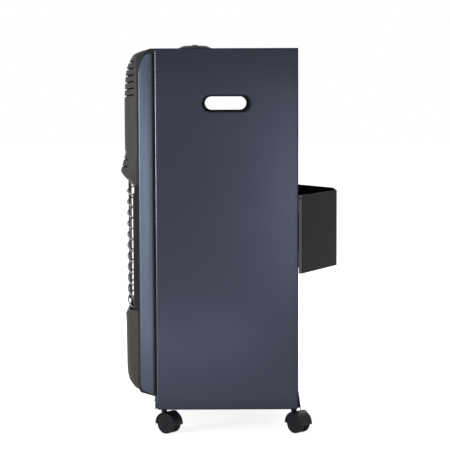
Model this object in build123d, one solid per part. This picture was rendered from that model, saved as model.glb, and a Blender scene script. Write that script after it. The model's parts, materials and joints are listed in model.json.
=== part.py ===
from build123d import *
import math
import os

# Portable gas cabinet heater: folded steel cabinet on four twin-wheel castors, three ceramic burners
# behind a wire grille, louvred fascia above, curved fascia below, bottle bay open at the rear.
# Millimetres. X runs across the heater (+X is its right side), -Y is the front, +Z is up.
# The origin is on the floor, under the middle of the whole outline.

# ---------------------------------------------------------------- driving dimensions: cabinet
cabinet_width = 420.0
cabinet_depth = 282.8
cabinet_height = 718.5
castor_height = 53.0
sheet = 1.0
heavy_sheet = 1.2
panel_bend_radius = 3.0
panel_corner_radius = 5.0
front_flange = 28.0
rear_flange = 7.5
edge_flange = 14.0
seat_gap = 0.3
partition_setback = 32.6

hand_slot_length = 92.8
hand_slot_height = 29.5
hand_slot_above_base = 610.1
hand_slot_lip = 4.0

# ---------------------------------------------------------------- driving dimensions: front
visor_reach = 70.4
face_reach = 62.0
surround_reach = 42.4
visor_root_reach = 44.7
cheek_reach = 34.7
pillar_reach = 32.2
pillar_gap = 6.0
fascia_wall = 2.2
fascia_corner_width = 37.5
fascia_corner_reach = 9.4
cheek_thickness = 7.0
pillar_thickness = 7.0
pillar_wall = 1.6
window_bottom_above_base = 216.0
window_height = 230.0
window_side_margin = 28.0
louvre_count = 6
louvre_pitch = 13.1
louvre_slot = 3.0
louvre_top_drop = 28.1
louvre_end_reach = 41.2
louvre_tilt = 10.0
louvre_rib_count = 5

# ---------------------------------------------------------------- driving dimensions: grille
wire_diameter = 3.0
weld_gap = 0.05
wire_pitch = 20.4
wire_rows = 12
wire_bulge = 21.1
wire_top_drop = 19.3
grille_half_width = 188.0
grille_upright_x = 140.0

# ---------------------------------------------------------------- driving dimensions: burners
burner_count = 3
burner_gap = 6.0
burner_margin = 8.0
burner_depth = 26.0
burner_wall = 1.0
burner_sill = 21.0
burner_head = 23.0
plaque_thickness = 13.0
screen_stand_off = 7.0
screen_bar = 1.4
screen_columns = 4
screen_rows = 6
venturi_radius = 9.5
venturi_length = 52.0
injector_gap = 4.0
injector_length = 14.0
injector_nut_height = 9.0
pipe_slope = 0.75
lead_slope = 1.0
pipe_diameter = 6.0
pilot_pipe_diameter = 4.0
lead_diameter = 2.4

# ---------------------------------------------------------------- driving dimensions: gas tap
tap_back_from_front = 76.8
tap_width = 76.0
tap_depth = 42.0
tap_height = 44.0
tap_drop = 22.5
neck_radius = 10.0
plug_radius = 7.0
plug_length = 34.0
spindle_radius = 4.0
spindle_square = 5.6
running_gap = 0.05
knob_radius = 33.3
knob_cap_radius = 26.0
knob_rise = 11.5
knob_grip_rise = 13.8
knob_grip_length = 52.0
knob_grip_width = 13.0
knob_press = 4.0
knob_crown_radius = 170.0
bezel_radius = 42.0
bezel_height = 6.5

# ---------------------------------------------------------------- driving dimensions: bottle guard
guard_reach = 88.8
guard_height = 156.4
guard_above_base = 272.3
guard_inset = 8.0
guard_strip = 8.3
guard_back_width = 94.0
guard_corner_radius = 12.0
hook_ear_depth = 24.0
hook_ear_height = 30.0
hook_pin_radius = 3.0
hook_head_radius = 5.0
hook_clearance = 0.2

# ---------------------------------------------------------------- driving dimensions: base and castors
base_floor_above_base = 20.0
base_rear_rise = 3.3
base_lip_flare = 5.8
base_lip_drop = 3.0
base_front_reach = 3.6
base_roll = 1.5
castor_side_inset = 40.0
front_castor_setback = 13.2
rear_castor_inset = 7.2
castor_wheel_radius = 20.5
castor_wheel_width = 14.0
castor_web = 6.4
castor_wheel_gap = 0.8
castor_hood_radius = 23.0
castor_hood_wall = 1.8
castor_tip_flare = 1.2
castor_trail = 13.0
castor_axle_radius = 3.0
castor_collar_radius = 6.0
castor_stem_radius = 4.0
castor_stem_length = 17.0
front_castor_turn = 39.0
rear_castor_turn = 47.0
far_castor_turn = 160.0

# ---------------------------------------------------------------- places worked out from them
half_width = cabinet_width / 2
rear_y = (visor_reach + cabinet_depth - guard_reach) / 2
front_y = rear_y - cabinet_depth
base_z = castor_height
top_z = base_z + cabinet_height
panel_top_z = top_z - heavy_sheet
inner_x = half_width - sheet
floor_z = base_z + base_floor_above_base
castor_x = half_width - castor_side_inset
window_bottom_z = base_z + window_bottom_above_base
window_top_z = window_bottom_z + window_height
fascia_half_width = half_width - pillar_thickness - cheek_thickness - 0.5
window_half_width = half_width - window_side_margin
burner_width = (2 * (window_half_width - burner_margin) - (burner_count - 1) * burner_gap) / burner_count
burner_pitch = burner_width + burner_gap
burner_height = window_height - burner_sill - burner_head
partition_y = front_y + partition_setback
tap_y = front_y + tap_back_from_front
tap_top_z = top_z - tap_drop
burner_bottom_z = window_bottom_z + burner_sill
burner_face_y = front_y - 15.4
burner_back_y = burner_face_y + burner_depth
reflector_y = burner_face_y + 6.0
venturi_y = reflector_y + venturi_radius + 0.5
venturi_bottom_z = burner_bottom_z - venturi_length
injector_tip_z = venturi_bottom_z - injector_gap
guard_bottom_z = base_z + guard_above_base
guard_top_z = guard_bottom_z + guard_height
pipe_y = partition_y + sheet + pipe_diameter / 2 + 4.0


# ---------------------------------------------------------------- shape helpers
def block(x0, x1, y0, y1, z0, z1):
    centre = ((x0 + x1) / 2, (y0 + y1) / 2, (z0 + z1) / 2)
    return Pos(*centre) * Box(x1 - x0, y1 - y0, z1 - z0)


def rod(start, end, radius):
    start = Vector(*start)
    end = Vector(*end)
    plane = Plane(origin=start, z_dir=end - start)
    return extrude(plane * Circle(radius), (end - start).length)


def plan_prism(face, z0, z1):
    return extrude(Pos(0, 0, z0) * face, z1 - z0, dir=(0, 0, 1))


def side_prism(face, x0, x1):
    return extrude(Pos(x0, 0, 0) * (Plane.YZ * face), x1 - x0, dir=(1, 0, 0))


def front_prism(face, y0, y1):
    return extrude(Pos(0, y0, 0) * (Plane.XZ * face), y1 - y0, dir=(0, 1, 0))


def polygon(*points):
    return make_face(Polyline(*points, close=True))


def folded(points, radius, thickness, side):
    spine = FilletPolyline(*points, radius=radius)
    return make_face(offset(spine, thickness, side=side))


def stadium(length, height):
    return SlotOverall(length, height)


def both_sides(shape):
    return shape + mirror(shape, about=Plane.YZ)


def bent_rod(points, bend_radius, diameter):
    path = FilletPolyline(*points, radius=bend_radius)
    start = Plane(origin=path @ 0, z_dir=path % 0)
    return sweep(start * Circle(diameter / 2), path=path)


# ---------------------------------------------------------------- cabinet
def rounded_pan(x0, x1, y0, y1, z0, z1, corner, bend):
    """A block whose +X face is rounded all round, for the inside or outside of a pressed panel."""
    pan = block(x0, x1, y0, y1, z0, z1)
    pan = fillet(pan.edges().filter_by(Axis.X), corner)
    return fillet(pan.faces().sort_by(Axis.X)[-1].edges(), bend)


def side_panel():
    outer = rounded_pan(half_width - front_flange, half_width, front_y, rear_y,
                        base_z, panel_top_z, panel_corner_radius, panel_bend_radius)
    inner = rounded_pan(half_width - front_flange - sheet, half_width - sheet, front_y + sheet, rear_y - sheet,
                        base_z + sheet, panel_top_z - sheet, panel_corner_radius - sheet, panel_bend_radius - sheet)
    panel = outer - inner
    beyond = half_width - front_flange - sheet
    panel -= block(beyond, half_width - rear_flange, rear_y - 2 * sheet, rear_y + sheet, base_z, panel_top_z)
    edge_y = front_y + 3 * sheet
    panel -= block(beyond, half_width - edge_flange, edge_y, rear_y + sheet, panel_top_z - 2 * sheet, top_z)
    panel -= block(beyond, half_width - edge_flange, edge_y, rear_y + sheet, base_z - sheet, base_z + 2 * sheet)
    return panel - hand_slot_cut(0) + hand_slot_rim()


def hand_slot_cut(grow):
    middle_y = (front_y + rear_y) / 2
    face = stadium(hand_slot_length + 2 * grow, hand_slot_height + 2 * grow)
    slot = side_prism(face, half_width - hand_slot_lip, half_width + sheet)
    return Pos(0, middle_y, base_z + hand_slot_above_base) * slot


def hand_slot_rim():
    rim = hand_slot_cut(sheet) - hand_slot_cut(0)
    return rim - block(half_width, half_width + 2 * sheet, front_y, rear_y, base_z, top_z)


def screw_holes(part, places, radius, y0, y1):
    for x, z in places:
        part -= rod((x, y0, z), (x, y1, z), radius)
    return part


def top_panel():
    edge_x = half_width - 4.0
    lip_drop = 12.0
    lip_x = half_width - rear_flange - 0.6
    plate = block(-edge_x, edge_x, front_y + seat_gap, rear_y, panel_top_z, top_z)
    plate = fillet(plate.edges().filter_by(Axis.Z), 2.0)
    rear_lip = block(-lip_x, lip_x, rear_y - heavy_sheet, rear_y, panel_top_z - lip_drop, panel_top_z)
    front_x = half_width - front_flange - 0.6
    front_lip = block(-front_x, front_x, front_y + seat_gap, front_y + seat_gap + heavy_sheet,
                      panel_top_z - lip_drop, panel_top_z)
    panel = plate + rear_lip + front_lip
    return panel - rod((0, tap_y, panel_top_z - 1), (0, tap_y, top_z + 1), neck_radius + 2.0)


def rear_top_rail():
    depth = 16.0
    height = 29.0
    top = panel_top_z - sheet
    back = rear_y - heavy_sheet - seat_gap
    reach = inner_x - panel_bend_radius
    face = folded([(back - depth, top - height), (back, top - height), (back, top), (back - depth, top)],
                  panel_corner_radius, sheet, Side.LEFT)
    return side_prism(face, -reach, reach)


def base_tray():
    inside_front = half_width - front_flange - seat_gap
    inside_rear = half_width - rear_flange - seat_gap
    inside_side = inner_x - seat_gap
    under = floor_z - heavy_sheet
    front_face = front_y - base_front_reach
    sill_z = base_z + 1.5
    lip_top = floor_z + base_rear_rise
    front_skirt = [(front_face, sill_z), (front_face, floor_z), (0, floor_z)]
    rear_lip = [(0, floor_z), (rear_y - 5.5, floor_z), (rear_y + 0.6, lip_top),
                (rear_y + base_lip_flare, base_z - base_lip_drop)]
    floor_front = side_prism(folded(front_skirt, 1.5, heavy_sheet, Side.RIGHT), -inside_front, inside_front)
    floor_rear = side_prism(folded(rear_lip, 1.6, heavy_sheet, Side.RIGHT), -inside_rear, inside_rear)
    wing_y0 = front_y + sheet + panel_bend_radius
    wing_y1 = rear_y - 5.5
    wing = block(inside_front - 1, inside_side, wing_y0, wing_y1, under, floor_z)
    skirt_foot_z = base_z + sheet + panel_bend_radius
    side_skirt = block(inside_side - heavy_sheet, inside_side, wing_y0, wing_y1, skirt_foot_z, floor_z)
    skirt_end_x = half_width - 5.0
    wide_skirt = block(inside_front - 1, skirt_end_x, front_face, front_face + heavy_sheet, sill_z, floor_z)
    skirt_return = block(skirt_end_x - heavy_sheet, skirt_end_x, front_face, front_y, sill_z, floor_z)
    roll = rod((-skirt_end_x, front_face, floor_z - 1.6), (skirt_end_x, front_face, floor_z - 1.6), base_roll)
    return floor_front + floor_rear + roll + both_sides(wing + side_skirt + wide_skirt + skirt_return)


def bay_partition():
    reach = inner_x - seat_gap
    flange = 12.0
    top = panel_top_z - sheet - panel_bend_radius
    outline = [(-reach, partition_y + flange), (-reach, partition_y), (reach, partition_y),
               (reach, partition_y + flange)]
    sheet_part = plan_prism(folded(outline, 2.0, sheet, Side.LEFT), floor_z, top)
    for column in range(-2, 3):
        vent = Pos(column * burner_pitch / 2, floor_z + 40.0) * stadium(burner_pitch / 2 - 20.0, 9.0)
        sheet_part -= front_prism(vent, partition_y - 1, partition_y + 3)
    for x in burner_centres():
        sheet_part -= rod((x, partition_y - 1, pipe_turn_z()), (x, partition_y + 3, pipe_turn_z()), 6.0)
    lead_slot = Pos(pilot_x() + 3.0, pilot_lead_z()) * stadium(44.0, 12.0)
    return sheet_part - front_prism(lead_slot, partition_y - 1, partition_y + 3)


# ---------------------------------------------------------------- fascias
def fascia_section(z, reach, wall, back_y):
    """Plan outline of the moulded front at one height: a flat front with elliptical corners."""
    half = fascia_half_width - wall
    flat = fascia_half_width - fascia_corner_width
    face_y = front_y - reach + wall
    corner_y = max(front_y - fascia_corner_reach, face_y + 0.6)
    across = half - flat
    ahead = corner_y - face_y
    outline = Line((-flat, face_y), (flat, face_y))
    outline += EllipticalCenterArc((flat, corner_y), across, ahead, start_angle=-90, arc_size=90)
    outline += Line((half, corner_y), (half, back_y))
    outline += Line((half, back_y), (-half, back_y))
    outline += Line((-half, back_y), (-half, corner_y))
    outline += EllipticalCenterArc((-flat, corner_y), across, ahead, start_angle=180, arc_size=90)
    return Pos(0, 0, z) * make_face(outline)


def fascia_body(levels, wall, back_y):
    return loft([fascia_section(z, reach, wall, back_y) for reach, z in levels], ruled=True)


def upper_levels():
    """Side profile of the upper fascia, as reach in front of the cabinet and height."""
    visor = [(0.0, 0.0), (19.0, 19.1), (23.0, 24.4), (25.4, 28.2), (25.7, 31.5)]
    spare = visor_reach - visor_root_reach - 25.7
    lower = [(visor_root_reach + ahead + spare * (rise > 0), window_top_z + rise) for ahead, rise in visor]
    face = [(1.2, window_top_z + 68.0), (-0.4, window_top_z + 74.0), (-0.2, top_z - 98.0), (1.9, top_z - 59.0)]
    brow = [(3.6, 45.5), (6.6, 33.0), (10.4, 24.3), (14.3, 18.0), (17.2, 12.5), (22.9, 8.3), (28.0, 6.2),
            (37.1, 3.2), (46.1, 1.2), (52.0, 0.3)]
    return lower + [(face_reach - back, z) for back, z in face] + [(face_reach - back, top_z - drop)
                                                                  for back, drop in brow]


def louvre_slots():
    slots = Part()
    end_y = front_y - louvre_end_reach
    depth = 40.0
    for number in range(louvre_count):
        z = top_z - louvre_top_drop - number * louvre_pitch
        slat = Box(2 * half_width, depth, louvre_slot)
        slat = Pos(0, end_y - depth / 2, z) * (Rot(louvre_tilt, 0, 0) * slat)
        slots += slat - block(-half_width, half_width, end_y, end_y + depth, z - depth, z + depth)
    return slots


def visor_slots():
    slots = Part()
    for rise in (38.0, 52.0):
        slots += block(-half_width, half_width, front_y - visor_reach - 5, front_y - face_reach + 6,
                       window_top_z + rise, window_top_z + rise + 3.2)
    return slots


def fascia_posts(heights):
    """Screw posts behind a fascia, each tied to the side wall by a web."""
    wall_x = fascia_half_width - fascia_wall
    post_x = wall_x - 6.0
    posts = Part()
    for z in heights:
        posts += rod((post_x, front_y, z), (post_x, front_y - 22, z), 4.2)
        posts += block(post_x, wall_x + 0.5, front_y - 20, front_y, z - 1, z + 1)
    posts = both_sides(posts)
    return screw_holes(posts, [(side * post_x, z) for side in (-1, 1) for z in heights], 1.55,
                       front_y + 1, front_y - 16)


def upper_fascia():
    levels = upper_levels()
    body = fascia_body(levels, 0.0, front_y)
    hollow = [(levels[0][0], levels[0][1] - 1.0)] + [(reach - 0.6, z + 0.8) for reach, z in levels[1:5]]
    hollow += levels[5:9]
    hollow += [(reach, z - fascia_wall) for reach, z in levels[9:-1]]
    shell = body - fascia_body(hollow, fascia_wall, front_y + 1)
    shell = shell - louvre_slots() - visor_slots()
    ribs = Part()
    deep = fascia_body(hollow, fascia_wall + 7.0, front_y + 1)
    rib_zone = fascia_body(hollow, fascia_wall - 0.4, front_y) - deep
    for number in range(louvre_rib_count):
        x = (number - (louvre_rib_count - 1) / 2) * 62.0
        ribs += rib_zone & block(x - 1.1, x + 1.1, front_y - 90, front_y - louvre_end_reach - 1,
                                 window_top_z + 34, top_z - 20)
    return shell + ribs + fascia_posts(upper_post_heights())


def lower_levels():
    """Side profile of the lower fascia, as reach in front of the cabinet and height."""
    bottom = [(51.9, 28.0), (35.5, 31.0), (25.5, 34.0), (17.0, 38.0), (13.1, 42.5), (9.1, 48.0), (5.0, 54.5),
              (2.1, 67.0), (0.9, 82.0)]
    rim = [(-0.2, 36.0), (-0.9, 26.6), (1.3, 22.0), (5.1, 18.0)]
    return [(face_reach - back, base_z + rise) for back, rise in bottom] + [
        (face_reach - back, window_bottom_z - drop) for back, drop in rim]


def lower_fascia():
    levels = lower_levels()
    body = fascia_body(levels, 0.0, front_y)
    hollow = [(reach, z + fascia_wall) for reach, z in levels[1:4]] + levels[4:-1]
    hollow += [(levels[-1][0] - 0.5, levels[-1][1] + 1)]
    shell = body - fascia_body(hollow, fascia_wall, front_y + 1)
    return shell + fascia_posts(lower_post_heights())


def upper_post_heights():
    return (window_top_z + 60.0, top_z - 60.0)


def lower_post_heights():
    return (base_z + 70.0, window_bottom_z - 50.0)


def cheek_outline(reach, back_reach, z0, z1, corner_x, corner_z, bottom_x, bottom_z):
    """Side outline with a big quarter-ellipse corner above and a smaller one below."""
    front = front_y - reach
    back = front_y - back_reach
    lines = Line((back, z0), (back, z1))
    lines += Line((back, z1), (front + corner_x, z1))
    lines += EllipticalCenterArc((front + corner_x, z1 - corner_z), corner_x, corner_z, start_angle=90, arc_size=90)
    lines += Line((front, z1 - corner_z), (front, z0 + bottom_z))
    lines += EllipticalCenterArc((front + bottom_x, z0 + bottom_z), bottom_x, bottom_z, start_angle=180, arc_size=90)
    lines += Line((front + bottom_x, z0), (back, z0))
    return make_face(lines)


def front_cheek():
    x0 = fascia_half_width + 0.5
    x1 = half_width - pillar_thickness
    outline = cheek_outline(cheek_reach, 0.0, base_z + 28.0, top_z, 28.0, 71.0, 24.0, 12.0)
    cheek = side_prism(outline, x0, x1)
    pocket = cheek_outline(cheek_reach - 3.0, 3.0, base_z + 31.0, top_z - 3.0, 25.0, 68.0, 21.0, 9.0)
    return cheek - side_prism(pocket, x0 - 1, x1 - 2.0)


def pillar_solid(inset):
    inboard = half_width - pillar_thickness - (1.0 if inset else 0.0)
    back = front_y - pillar_gap - inset
    front = front_y - pillar_reach + inset
    outer = half_width - inset
    section = Line((inboard, back), (outer, back))
    section += ThreePointArc((outer, back), (outer - 0.9, (back + front) / 2), (outer - 3.4, front + 2.0))
    section += ThreePointArc((outer - 3.4, front + 2.0), (outer - 4.2, front + 0.6), (outer - 5.6, front))
    section += Line((outer - 5.6, front), (inboard, front))
    section += Line((inboard, front), (inboard, back))
    bar = plan_prism(make_face(section), base_z + 30.0, top_z)
    outline = cheek_outline(pillar_reach - inset, pillar_gap + inset, base_z + 33.0 + inset, top_z - 10.5 - inset,
                            21.0, 52.0, 22.0, 11.0)
    return bar & side_prism(outline, half_width - 20, half_width + 5)


def front_pillar():
    return pillar_solid(0.0) - pillar_solid(pillar_wall)


# ---------------------------------------------------------------- burner surround and grille
def burner_surround():
    face_y = front_y - surround_reach
    half = fascia_half_width
    z0 = lower_levels()[-1][1] + seat_gap
    z1 = window_top_z - seat_gap
    plate = block(-half, half, face_y, face_y + heavy_sheet, z0, z1)
    plate -= block(-window_half_width, window_half_width, face_y - 1, face_y + 2 * heavy_sheet,
                   window_bottom_z, z1 - 4.0)
    plate += block(-half, half, face_y, face_y + 28.0, z1 - heavy_sheet, z1)
    wall = block(half - heavy_sheet, half, face_y, front_y, z0, z1)
    apron = folded([(face_y + 0.2, window_bottom_z), (face_y - 5.7, z0), (face_y - 5.7, z0 - 11.0)],
                   2.0, heavy_sheet, Side.LEFT)
    apron_half = window_half_width - 12.0
    return plate + both_sides(wall) + side_prism(apron, -apron_half, apron_half)


def wire_heights():
    return [window_top_z - wire_top_drop - row * wire_pitch for row in range(wire_rows)]


def grille_rod_y():
    return front_y - surround_reach - wire_diameter / 2 - weld_gap


def grille_wire_y(x):
    """Centre line of a bowed wire: a circular arc between the two side rods."""
    ends_y = grille_rod_y() - wire_diameter - weld_gap
    arc_radius = (grille_half_width ** 2 + wire_bulge ** 2) / (2 * wire_bulge)
    return ends_y + arc_radius - wire_bulge - math.sqrt(arc_radius ** 2 - x ** 2)


def wire_grille():
    """Bowed wires welded to two uprights and two side rods. Each is a solid of its own, weld_gap apart."""
    heights = wire_heights()
    wires = []
    ends = [(side * grille_half_width, grille_wire_y(grille_half_width)) for side in (-1, 1)]
    for z in heights:
        arc = Pos(0, 0, z) * ThreePointArc(ends[0], (0, grille_wire_y(0)), ends[1])
        start = Plane(origin=arc @ 0, z_dir=arc % 0)
        wires.append(sweep(start * Circle(wire_diameter / 2), path=arc))
    upright_y = grille_wire_y(grille_upright_x) + wire_diameter + 2 * weld_gap
    low = heights[-1] - wire_diameter
    uprights = [(grille_half_width - wire_diameter / 2, grille_rod_y(), heights[0] + wire_diameter),
                (grille_upright_x, upright_y, window_top_z + 6.0)]
    for x, y, high in uprights:
        wires += [rod((side * x, y, low), (side * x, y, high), wire_diameter / 2) for side in (-1, 1)]
    return Compound(children=wires)


# ---------------------------------------------------------------- burners
def burner_centres():
    return [(number - (burner_count - 1) / 2) * burner_pitch for number in range(burner_count)]


def reflector():
    pan_y = reflector_y
    mouth_y = front_y - surround_reach + heavy_sheet + seat_gap
    back_half = burner_pitch * burner_count / 2 + 1.5
    mouth_half = window_half_width + 1.0
    z_low = window_bottom_z + 7.0
    z_high = burner_bottom_z + burner_height + 10.0
    mouth_low = window_bottom_z - 1.0
    mouth_high = window_top_z - 2.5

    def ring(y, half, low, high):
        return Pos(0, y, 0) * (Plane.XZ * (Pos(0, (low + high) / 2) * Rectangle(2 * half, high - low)))

    outer = loft([ring(pan_y, back_half, z_low, z_high),
                  ring(mouth_y, mouth_half, mouth_low, mouth_high)], ruled=True)
    wall = 0.8
    inner = loft([ring(pan_y - wall, back_half - wall, z_low + wall, z_high - wall),
                  ring(mouth_y - 0.5, mouth_half - wall, mouth_low + wall, mouth_high - wall)], ruled=True)
    pan = outer - inner
    hole = 0.5
    for x in burner_centres():
        pan -= block(x - burner_width / 2 - hole, x + burner_width / 2 + hole, pan_y - 3, pan_y + 1,
                     burner_bottom_z - hole, burner_bottom_z + burner_height + hole)
    return pan - block(pilot_x() - 16, pilot_x() + 20, burner_face_y - 19, pan_y + 1, mouth_low - 1,
                       burner_bottom_z - 3)


def burner_body(x):
    half = burner_width / 2
    top = burner_bottom_z + burner_height
    box = block(x - half, x + half, burner_face_y, burner_back_y, burner_bottom_z, top)
    box = fillet(box.edges().filter_by(Axis.Y), 4.0)
    lip = 2.2
    flange = block(x - half - lip, x + half + lip, burner_face_y + 4.2, burner_face_y + 5.2,
                   burner_bottom_z - lip, top + lip)
    cavity = block(x - half + burner_wall, x + half - burner_wall, burner_face_y - 1, burner_back_y - burner_wall,
                   burner_bottom_z + burner_wall, top - burner_wall)
    tube = rod((x, venturi_y, burner_bottom_z + 0.5), (x, venturi_y, venturi_bottom_z + 8), venturi_radius)
    bell = Pos(x, venturi_y, venturi_bottom_z) * Cone(venturi_radius + 4, venturi_radius, 8,
                                                      align=(Align.CENTER, Align.CENTER, Align.MIN))
    bore = rod((x, venturi_y, burner_bottom_z + 2), (x, venturi_y, venturi_bottom_z - 1),
               venturi_radius - burner_wall)
    flare = Pos(x, venturi_y, venturi_bottom_z - 0.01) * Cone(venturi_radius + 3, venturi_radius - burner_wall, 8,
                                                              align=(Align.CENTER, Align.CENTER, Align.MIN))
    return (box + flange - cavity) + tube + bell - bore - flare


def burner_plaque(x):
    half = burner_width / 2 - burner_wall - 0.2
    z0 = burner_bottom_z + burner_wall + 0.2
    z1 = burner_bottom_z + burner_height - burner_wall - 0.2
    tile = block(x - half, x + half, burner_face_y + 1.0, burner_face_y + 1.0 + plaque_thickness, z0, z1)
    rib_pitch = (z1 - z0) / 14
    for number in range(1, 14):
        z = z0 + number * rib_pitch
        tile -= block(x - half + 5, x + half - 5, burner_face_y, burner_face_y + 2.0, z - 1.6, z + 1.6)
    return tile


def burner_screen(x):
    half = burner_width / 2 - 1.0
    z0 = burner_bottom_z + 1.0
    z1 = burner_bottom_z + burner_height - 1.0
    y0 = burner_face_y - screen_stand_off
    border = 3.0
    screen = block(x - half, x + half, y0, y0 + screen_bar, z0, z1)
    gap_x = (2 * half - 2 * border - (screen_columns - 1) * screen_bar) / screen_columns
    gap_z = (z1 - z0 - 2 * border - (screen_rows - 1) * screen_bar) / screen_rows
    gaps = [Pos(x - half + border + gap_x / 2 + column * (gap_x + screen_bar),
                z0 + border + gap_z / 2 + row * (gap_z + screen_bar)) * Rectangle(gap_x, gap_z)
            for column in range(screen_columns) for row in range(screen_rows)]
    screen -= front_prism(Sketch() + gaps, y0 - 1, y0 + screen_bar + 1)
    for side in (-1, 1):
        for z in (z0 + 6, z1 - 6):
            foot_x = x + side * (half - 0.5)
            screen += block(foot_x - 0.5, foot_x + 0.5, y0, burner_face_y, z - 4, z + 4)
    return screen


def heat_deflector():
    shelf_z = window_top_z + 0.2
    reach = fascia_half_width - fascia_wall - 14.0
    back = partition_y - seat_gap
    spine = [(front_y - 18, shelf_z), (front_y - 2, shelf_z), (back - 3, shelf_z + 58), (back, shelf_z + 74)]
    profile = folded(spine, 3.0, heavy_sheet, Side.LEFT)
    return side_prism(profile, -reach, reach)


# ---------------------------------------------------------------- pilot, ignition and pipes
def pilot_x():
    return burner_pitch / 2


def pilot_lead_z():
    return window_bottom_z - 12.0


def pipe_turn_z():
    return injector_tip_z - 31.0


def pilot_burner():
    """Pilot head on a shelf under the gap between two burners; the shelf also holds the two probes."""
    x = pilot_x()
    y = ignition_y()
    z = window_bottom_z + 9.0
    shelf = block(x - 14, x + 18, y - 6, reflector_y + heavy_sheet, z, z + 1.2)
    shelf -= rod((x + 2, y, z - 1), (x + 2, y, z + 2), 2.1)
    shelf -= rod((x + 13, y, z - 1), (x + 13, y, z + 2), 3.5)
    tab = block(x - 22, x + 26, reflector_y, reflector_y + heavy_sheet, z - 1, z + 8)
    head = rod((x - 8, y, pilot_lead_z() + 10), (x - 8, y, z + 8), 4.0)
    hood = block(x - 12, x - 4, y - 8, y, z + 3, z + 8)
    return shelf + tab + head + hood


def ignition_y():
    return burner_face_y - 9.2


def thermocouple():
    x = pilot_x()
    y = ignition_y()
    z = pilot_lead_z()
    top = tap_top_z - tap_height
    lane_y = partition_y + sheet + 4.5
    path = [(16, tap_y - 12, top), (16, tap_y - 12, top - 8), (16, lane_y, top - 28), (16, lane_y, top - 96),
            (x + 2, lane_y, top - 96 - lead_slope * (x - 14)), (x + 2, lane_y, z), (x + 2, y, z), (x + 2, y, z + 16)]
    lead = bent_rod(path, [4, 8, 20, 20, 7, 6], lead_diameter)
    return lead + rod((x + 2, y, z + 14), (x + 2, y, z + 36), 2.0)


def spark_electrode():
    x = pilot_x() + 13
    y = ignition_y()
    z = pilot_lead_z()
    body = rod((x, y, z + 12), (x, y, z + 30), 3.4)
    tip = rod((x, y, z + 28), (x, y, z + 40), 1.0)
    return body + tip


def igniter_lead():
    x = pilot_x() + 13
    y = ignition_y()
    z = pilot_lead_z() - 3.0
    lane_y = partition_y + sheet + 3.5
    bottom = tap_top_z - tap_height - 3.0
    x0 = piezo_x()
    path = [(x0, tap_y, bottom), (x0, tap_y, bottom - 14), (x0, tap_y - 28, bottom - 42),
            (x, tap_y - 28, bottom - 100), (x, lane_y, bottom - 140), (x, lane_y, z), (x, y, z), (x, y, z + 15)]
    return bent_rod(path, [6, 12, 20, 20, 8, 4], lead_diameter)


def piezo_x():
    return tap_width / 2 + 14.0


def piezo_igniter():
    x = piezo_x()
    bottom = tap_top_z - tap_height - 3.0
    return rod((x, tap_y, bottom), (x, tap_y, tap_top_z), 8.0)


def burner_pipes():
    face = tap_y - tap_depth / 2
    outlet_z = tap_top_z - tap_height + 10.0
    turn = pipe_turn_z()
    end = injector_tip_z - injector_length
    pipes = Part()
    for number, x in enumerate(burner_centres()):
        out_x = (number - (burner_count - 1) / 2) * 24.0
        path = [(out_x, face, outlet_z), (out_x, pipe_y, outlet_z)]
        bends = [8.0]
        if x != out_x:
            drop = 45 + pipe_slope * abs(x - out_x)
            path += [(out_x, pipe_y, outlet_z - 45), (x, pipe_y, outlet_z - drop)]
            bends += [24.0, 24.0]
        path += [(x, pipe_y, turn), (x, venturi_y, turn), (x, venturi_y, end)]
        bends += [10.0, 10.0]
        pipes += bent_rod(path, bends, pipe_diameter)
    return pipes


def pilot_pipe():
    x = pilot_x() - 8
    y = ignition_y()
    z = pilot_lead_z()
    top = tap_top_z - tap_height
    lane_y = partition_y + sheet + 5.0
    path = [(8, tap_y - 12, top), (8, tap_y - 12, top - 8), (8, lane_y, top - 28), (8, lane_y, top - 110),
            (x, lane_y, top - 110 - lead_slope * (x - 8)), (x, lane_y, z), (x, y, z), (x, y, z + 10)]
    return bent_rod(path, [5, 8, 20, 20, 8, 6], pilot_pipe_diameter)


def injectors():
    parts = Part()
    end = injector_tip_z - injector_length
    for x in burner_centres():
        nut = extrude(Pos(x, venturi_y, end) * RegularPolygon(6.5, 6), injector_nut_height)
        tip = Cone(4.0, 1.8, injector_length - injector_nut_height, align=(Align.CENTER, Align.CENTER, Align.MIN))
        tip = Pos(x, venturi_y, end + injector_nut_height) * tip
        parts += nut + tip
    return parts


def injector_rail():
    z = injector_tip_z - 8.0
    front = venturi_y - 12.0
    reach = burner_pitch + 20.0
    profile = folded([(front, z), (partition_y, z), (partition_y, z + 26)], 2.0, heavy_sheet, Side.LEFT)
    rail = side_prism(profile, -reach, reach)
    for x in burner_centres():
        rail -= extrude(Pos(x, venturi_y, z - 4) * RegularPolygon(6.7, 6), 8)
    return rail


# ---------------------------------------------------------------- gas tap and knob
def gas_tap_body():
    bottom = tap_top_z - tap_height
    body = block(-tap_width / 2, tap_width / 2, tap_y - tap_depth / 2, tap_y + tap_depth / 2, bottom, tap_top_z)
    body = fillet(body.edges().filter_by(Axis.Z), 5.0)
    body += rod((0, tap_y, tap_top_z), (0, tap_y, tap_top_z + 15), neck_radius)
    body -= rod((0, tap_y, tap_top_z - plug_length), (0, tap_y, tap_top_z + 3), plug_radius + running_gap)
    return body - rod((0, tap_y, tap_top_z), (0, tap_y, tap_top_z + 16), spindle_radius + running_gap)


def tap_plug():
    bottom = tap_top_z - plug_length + 0.2
    plug = rod((0, tap_y, bottom), (0, tap_y, tap_top_z + 2.7), plug_radius)
    socket = spindle_square + 2 * running_gap
    return plug - block(-socket / 2, socket / 2, tap_y - socket / 2, tap_y + socket / 2, bottom + 6, tap_top_z + 4)


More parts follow.
